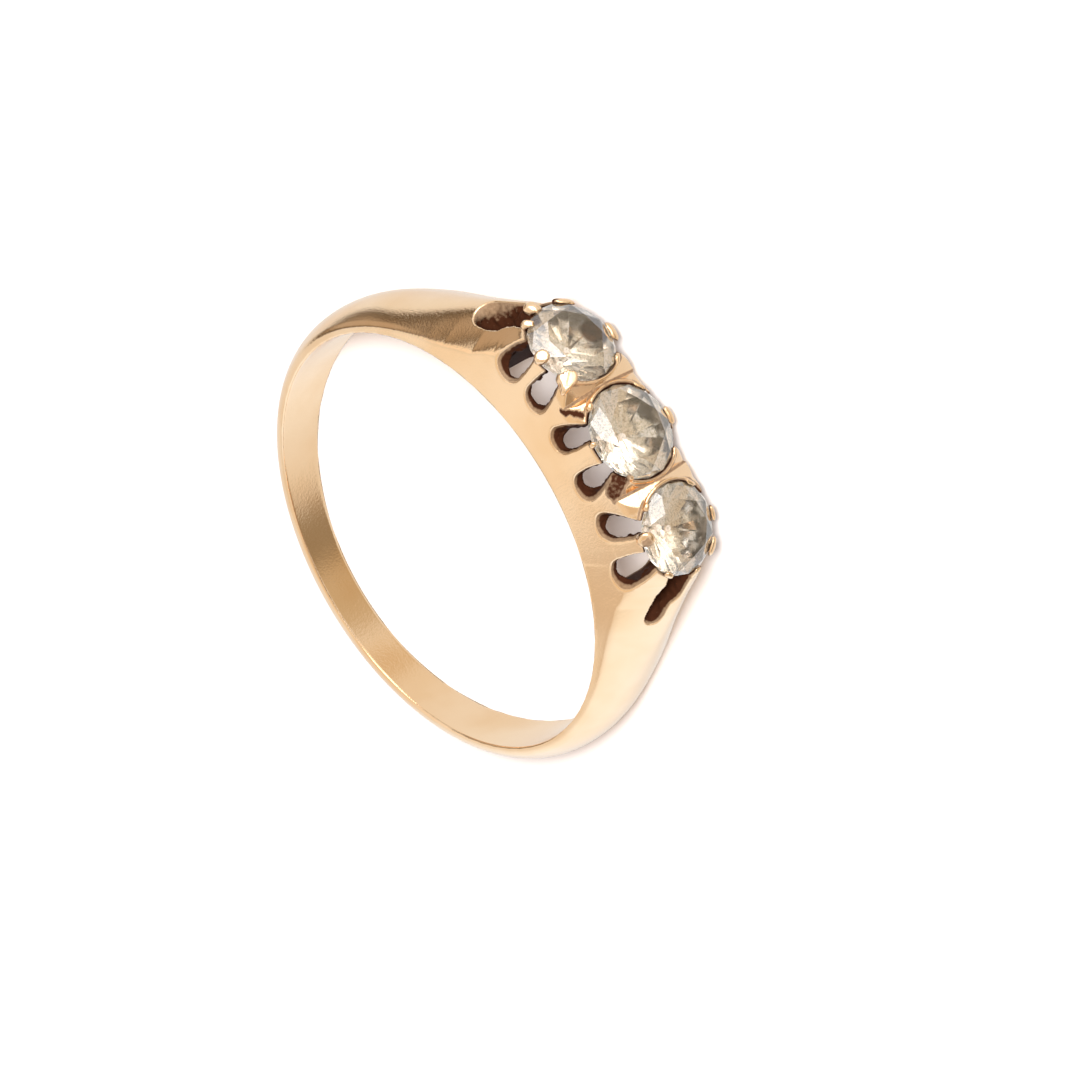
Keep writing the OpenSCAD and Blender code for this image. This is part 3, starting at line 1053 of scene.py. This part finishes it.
@dataclass
class CutStones:
    """The three stones, each made by the same Geometry Nodes tree."""

    sizes: RingSizes = RingSizes()
    crown: CrownFinish = CrownFinish()
    back: BackFinish = BackFinish()
    inputs: tuple[str, ...] = ("Diameter", "Table", "Crown", "Pavilion", "Girdle", "Culet", "Turn")
    facets: int = 8
    back_slope: float = -0.2

    def tree(self, crown_material: Material, back_material: Material) -> NodeTree:
        """Builds the tree that cuts a stone from named sizes.

        Args:
            crown_material: for the facets above the girdle's lower edge.
            back_material: for the facets below it.

        Returns:
            A Geometry Nodes tree.
        """
        made = bpy.data.node_groups.new("cut_stone", "GeometryNodeTree")
        made.is_modifier = True
        face = made.interface
        face.new_socket(name="Geometry", in_out="INPUT", socket_type="NodeSocketGeometry")
        for name in self.inputs:
            face.new_socket(name=name, in_out="INPUT", socket_type="NodeSocketFloat")
        face.new_socket(name="Geometry", in_out="OUTPUT", socket_type="NodeSocketGeometry")
        s = Sockets(made)
        given = s.add("NodeGroupInput").outputs
        d, table, crown, pavilion, girdle, culet, turn = (given[k] for k in range(1, 8))
        join = s.add("GeometryNodeJoinGeometry")

        def circle(count: int, radius: object, height: object, angle: object) -> None:
            """Adds a level ring of corners to the join.

            Args:
                count: number of corners.
                radius, height, angle: the ring's size, height and turn, as values or sockets.
            """
            moved = {
                "Geometry": s.add("GeometryNodeMeshCircle", {"Vertices": count, "Radius": radius}).outputs[0],
                "Translation": s.add("ShaderNodeCombineXYZ", {2: height}).outputs[0],
                "Rotation": s.add("ShaderNodeCombineXYZ", {2: angle}).outputs[0],
            }
            s.fill(join, {0: s.add("GeometryNodeTransform", moved).outputs[0]})

        half = s.times(d, 0.5)
        table_r = s.times(half, table)
        rim = s.times(half, girdle)
        top = s.math("ADD", s.times(d, crown), rim)
        step = math.pi / self.facets
        kite_r = s.math("DIVIDE", s.times(s.math("ADD", half, table_r), 0.5), math.cos(step))
        kite_z = s.times(s.math("ADD", top, rim), 0.5)
        between = s.math("ADD", turn, step)
        low = s.times(rim, -1.0)
        tip = s.math("SUBTRACT", low, s.times(d, pavilion))
        circle(self.facets, table_r, top, turn)
        circle(self.facets, kite_r, kite_z, between)
        circle(2 * self.facets, half, rim, turn)
        circle(2 * self.facets, half, low, turn)
        circle(self.facets, s.times(half, culet), tip, turn)
        hull = s.add("GeometryNodeConvexHull", {0: join.outputs[0]}).outputs[0]
        real = s.add("GeometryNodeRealizeInstances", {0: hull}).outputs[0]
        facing = s.add("ShaderNodeSeparateXYZ", {0: s.add("GeometryNodeInputNormal").outputs[0]}).outputs[2]
        dressed = s.add("GeometryNodeSetMaterial", {"Geometry": real, "Material": crown_material}).outputs[0]
        lined = {
            "Geometry": dressed,
            "Selection": s.math("LESS_THAN", facing, self.back_slope),
            "Material": back_material,
        }
        s.add("NodeGroupOutput", {0: s.add("GeometryNodeSetMaterial", lined).outputs[0]})
        return made

    def build(self) -> list[Object]:
        """Cuts the three stones and sets them in the ring."""
        tree = self.tree(self.crown.material(), self.back.material())
        named = {item.name: item.identifier for item in tree.interface.items_tree if item.in_out == "INPUT"}
        s, stones = self.sizes, []
        for seat in SEATS:
            blank = add_object("blank", bpy.data.meshes.new("blank"))
            modifier = blank.modifiers.new("cut", "NODES")
            modifier.node_group = tree
            shares = (s.table_share, s.crown_share, s.pavilion_share, s.girdle_share, s.culet_share)
            for name, value in zip(self.inputs, (seat.diameter, *shares, math.radians(seat.turn))):
                modifier[named[name]] = value
            graph = bpy.context.evaluated_depsgraph_get()
            mesh = bpy.data.meshes.new_from_object(blank.evaluated_get(graph))
            bpy.data.objects.remove(blank)
            points = np.empty(len(mesh.vertices) * 3, dtype=np.float32)
            mesh.vertices.foreach_get("co", points)
            along, across, up = points.reshape(-1, 3).T
            a = math.radians(seat.angle)
            out = up + seat.girdle_r
            c, sine = math.cos(a), math.sin(a)
            placed = np.stack([along * c + out * sine, along * sine - out * c, across], axis=1)
            mesh.vertices.foreach_set("co", s.lay(placed).astype(np.float32).ravel())
            mesh.update()
            piece = add_object(f"cut_{seat.node}", mesh)
            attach(piece, "root")
            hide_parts(seat.node)
            stones.append(piece)
        return stones


@dataclass(frozen=True)
class Glow:
    """A soft patch of the light tent, by its direction from the ring in degrees (azimuth 0 is -Y, 90 is +X)."""

    azimuth: float
    elevation: float
    inner: float
    outer: float
    colour: Triple


@dataclass(frozen=True)
class Studio:
    """The pale floor, the soft light and the camera."""

    tent: Colour = (0.92, 0.92, 0.92, 1)
    fill: Colour = (0.3, 0.235, 0.21, 1)
    glows: tuple[Glow, ...] = (
        Glow(0, 90, 5, 40, (0.92, 0.83, 0.7)),
        Glow(-125, 0, 20, 55, (1.15, 1.28, 1.45)),
        Glow(-18, 40, 12, 38, (0.8, 0.68, 0.54)),
        Glow(-48, -13, 10, 26, (0.42, 0.35, 0.28)),
        Glow(46, 6, 13, 25, (4.6, 4.6, 4.6)),
        Glow(10, 5, 6, 10, (4.2, 4.2, 4.2)),
        Glow(-28, -30, 8, 22, (0.34, 0.28, 0.2)),
        Glow(2, -38, 8, 22, (0.62, 0.52, 0.37)),
        Glow(40, -40, 6, 12, (0.76, 0.65, 0.49)),
        Glow(120, -34, 12, 17, (0.94, 0.97, 1.0)),
        Glow(125, 8, 27.6, 29.2, (0.12, 0.09, 0.06)),
        Glow(125, 8, 16, 25, (0.54, 0.45, 0.36)),
        Glow(128, 48, 4, 16, (1.12, 1.06, 1.0)),
        Glow(176, 43, 5, 18, (1.05, 1.04, 1.02)),
        Glow(-160, 43, 5.5, 12, (0.76, 0.71, 0.67)),
    )
    sizes: RingSizes = RingSizes()
    # the camera: angles in radians, distance in millimetres, focal length and middle in pixels of the frame
    elevation: float = 0.6629
    azimuth: float = 0.0126
    roll: float = -2.0957
    distance: float = 289.30
    focal_px: float = 7731.22
    centre_px: tuple[float, float] = (462.914, 526.368)
    frame_px: float = 1080.0
    sensor: float = 36.0
    floor_half: float = 1.5
    floor_colour: Colour = (0.93, 0.885, 0.865, 1)
    lamp_at: Triple = (0.06, -0.42, 0.47)
    lamp_size: float = 0.22
    lamp_energy: float = 6.6

    def camera(self) -> Object:
        """Sets the camera at the photograph's angle."""
        a, b = self.elevation, self.azimuth
        back = np.array([math.sin(b) * math.cos(a), -math.cos(b) * math.cos(a), math.sin(a)])
        right = np.cross([0.0, 0.0, 1.0], back)
        right /= np.linalg.norm(right)
        up = np.cross(back, right)
        c, s = math.cos(self.roll), math.sin(self.roll)
        right, up = c * right + s * up, c * up - s * right
        scale = self.focal_px / self.distance
        off = (self.centre_px[0] - self.frame_px / 2) / scale, (self.centre_px[1] - self.frame_px / 2) / scale
        place = self.distance * back - off[0] * right + off[1] * up
        corners = np.array([place, place + right, place + up, place + back])
        laid = self.sizes.lay(corners) / MM
        data = bpy.data.cameras.new("camera")
        data.sensor_width = self.sensor
        data.lens = self.sensor * self.focal_px / self.frame_px
        data.clip_start, data.clip_end = 0.01, 10.0
        made = add_object("camera", data)
        matrix = np.eye(4)
        matrix[:3, :3] = (laid[1:] - laid[0]).T
        matrix[:3, 3] = laid[0] * MM
        made.matrix_world = Matrix(matrix.tolist())
        bpy.context.scene.camera = made
        return made

    def floor(self) -> Object:
        """Lays a plain pale floor."""
        points = self.floor_half * np.array([[-1, -1, 0], [1, -1, 0], [1, 1, 0], [-1, 1, 0]])
        made = new_mesh("floor", points, np.array([[0, 1, 2, 3]]), False)
        material, s, shader = shaded("pale_floor")
        s.fill(shader, {"Base Color": self.floor_colour, "Roughness": 0.8})
        made.data.materials.append(material)
        made.visible_glossy = False
        return made

    def light(self) -> None:
        """Gives the soft surround of a light tent and one broad lamp."""
        world = bpy.data.worlds.new("surround")
        bpy.context.scene.world = world
        world.use_nodes = True
        world.node_tree.nodes.clear()
        s = Sockets(world.node_tree)
        place = s.add("ShaderNodeTexCoord").outputs["Generated"]
        colour: object = self.tent
        for glow in self.glows:
            a, e = math.radians(glow.azimuth), math.radians(glow.elevation)
            aim = (math.sin(a) * math.cos(e), -math.cos(a) * math.cos(e), math.sin(e))
            near = s.add("ShaderNodeVectorMath", {0: place, 1: aim}, operation="DOT_PRODUCT").outputs["Value"]
            limits = math.cos(math.radians(glow.outer)), math.cos(math.radians(glow.inner))
            colour = s.mix(s.ramp(near, *limits), colour, (*glow.colour, 1))
        path = s.add("ShaderNodeLightPath")
        back = s.add("ShaderNodeBackground", {0: s.mix(path.outputs["Is Diffuse Ray"], colour, self.fill)})
        s.add("ShaderNodeOutputWorld", {0: back.outputs[0]})
        lamp = bpy.data.lights.new("soft_lamp", "AREA")
        lamp.shape, lamp.size, lamp.energy = "DISK", self.lamp_size, self.lamp_energy
        made = add_object("soft_lamp", lamp)
        made.location = self.lamp_at
        made.visible_glossy = made.visible_transmission = False
        made.rotation_mode = "QUATERNION"
        made.rotation_quaternion = Vector(made.location).to_track_quat("Z", "Y")

    def build(self) -> None:
        """Sets up all of it."""
        self.camera()
        self.floor()
        self.light()
        bpy.context.scene.view_settings.view_transform = "Standard"


def main() -> None:
    """Builds every piece in order."""
    logging.basicConfig(level=logging.INFO, format="%(name)s: %(message)s")
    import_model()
    Studio().build()
    for piece in [GoldBand().build(), *CutStones().build()]:
        LOG.info("%s: %d faces", piece.name, len(piece.data.polygons))


if __name__ == "__main__":
    main()
